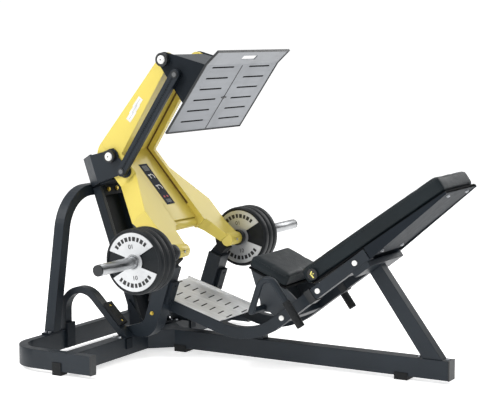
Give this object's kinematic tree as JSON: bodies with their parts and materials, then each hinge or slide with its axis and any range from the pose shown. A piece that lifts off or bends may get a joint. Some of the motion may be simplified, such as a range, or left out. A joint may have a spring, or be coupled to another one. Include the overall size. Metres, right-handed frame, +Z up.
{
  "type": "leg press machine",
  "caption": "Plate-loaded leg press with a four-bar press arm, slotted footplate, reclined padded seat and side handles on a welded steel base.",
  "frame": {"origin": "middle of the machine's outer box, on the floor", "axes": "+X from the head column towards the backrest's high end, +Y towards the seated user's left, +Z up"},
  "size_m": [1.8105, 1.65, 1.3549],
  "materials": {
    "black_powder_coat": "satin powder coat",
    "yellow_paint": "semi-gloss paint",
    "grey_paint": "satin powder coat",
    "stainless": "brushed",
    "chrome": "polished",
    "zinc": "zinc plated",
    "rubber": "matte",
    "plate_rubber": "cast iron under a black rubber coat",
    "plate_silver": "satin",
    "bronze": "sintered",
    "black_plastic": "moulded",
    "white_plastic": "moulded",
    "upholstery": "grained vinyl",
    "board": "painted plywood",
    "placard": "printed",
    "yellow_bolt": "satin"
  },
  "bodies": {
    "frame": {"rear_base_tube": "black_powder_coat", "front_cross_tube": "black_powder_coat", "main_beam": "black_powder_coat", "end_caps": "black_plastic", "base_feet": "rubber", "frame_bolts": "zinc", "rear_arch": "black_powder_coat", "base_brackets": "black_powder_coat", "step_arches": "black_powder_coat", "step_pads": "rubber", "yellow_bolts": "yellow_bolt", "column_flanges": "black_powder_coat", "column_web": "black_powder_coat", "column_plates": "black_powder_coat", "head_bracket": "black_powder_coat", "pivot_pins": "chrome", "pivot_caps": "black_plastic", "stop_posts": "black_powder_coat", "stop_bumpers": "rubber", "post_brackets": "black_powder_coat", "rail_right": "black_powder_coat", "rail_left": "black_powder_coat", "cross_members": "black_powder_coat", "rail_caps": "white_plastic", "rail_sleeves": "black_plastic", "tread_plate": "stainless", "rear_leg": "black_powder_coat", "back_wings": "black_powder_coat", "back_board": "board", "back_cushion": "upholstery", "back_badges": "black_plastic", "seat_cushion": "upholstery", "seat_pan": "board", "seat_brackets": "grey_paint", "handles": "black_powder_coat", "handle_grips": "rubber"},
    "arm": {"arm_flank_right": "yellow_paint", "arm_flank_left": "yellow_paint", "arm_panels": "yellow_paint", "arm_cross_tube": "yellow_paint", "arm_placard": "placard", "arm_bushings": "bronze", "boss_screws": "zinc", "sleeves": "chrome", "sleeve_collars": "black_plastic", "sleeve_caps": "black_plastic"},
    "carriage": {"carriage_pins": "chrome", "carriage_caps": "black_plastic", "carriage_sides": "black_powder_coat", "carriage_cover": "grey_paint", "carriage_ribs": "black_powder_coat", "footplate": "stainless", "footplate_frame": "black_plastic"},
    "link": {"link_bar": "black_powder_coat"},
    "stack_right": {"plates_right": "plate_rubber", "plate_faces_right": "plate_silver"},
    "stack_left": {"plates_left": "plate_rubber", "plate_faces_left": "plate_silver"}
  },
  "joints": [
    {"name": "arm_pivot", "type": "hinge", "parent": "frame", "child": "arm", "pos_m": [-0.70125, 0, 0.8795], "axis": [0, -1, 0], "range_deg": [0, 34]},
    {"name": "carriage_pivot", "type": "hinge", "parent": "arm", "child": "carriage", "pos_m": [-0.419, 0, 1.31144], "axis": [0, -1, 0], "range_deg": [-34, 0]},
    {"name": "link_pivot", "type": "hinge", "parent": "frame", "child": "link", "pos_m": [-0.63025, -0.168, 0.8165], "axis": [0, -1, 0], "range_deg": [0, 34]},
    {"name": "stack_right_slide", "type": "slide", "parent": "arm", "child": "stack_right", "axis": [0, -1, 0], "range_m": [-0.165, 0.235]},
    {"name": "stack_left_slide", "type": "slide", "parent": "arm", "child": "stack_left", "axis": [0, 1, 0], "range_m": [-0.004, 0.4]}
  ],
  "couplings": [
    {"joint": "carriage_pivot", "follows": "arm_pivot", "ratio": -1},
    {"joint": "link_pivot", "follows": "arm_pivot", "ratio": 1}
  ]
}
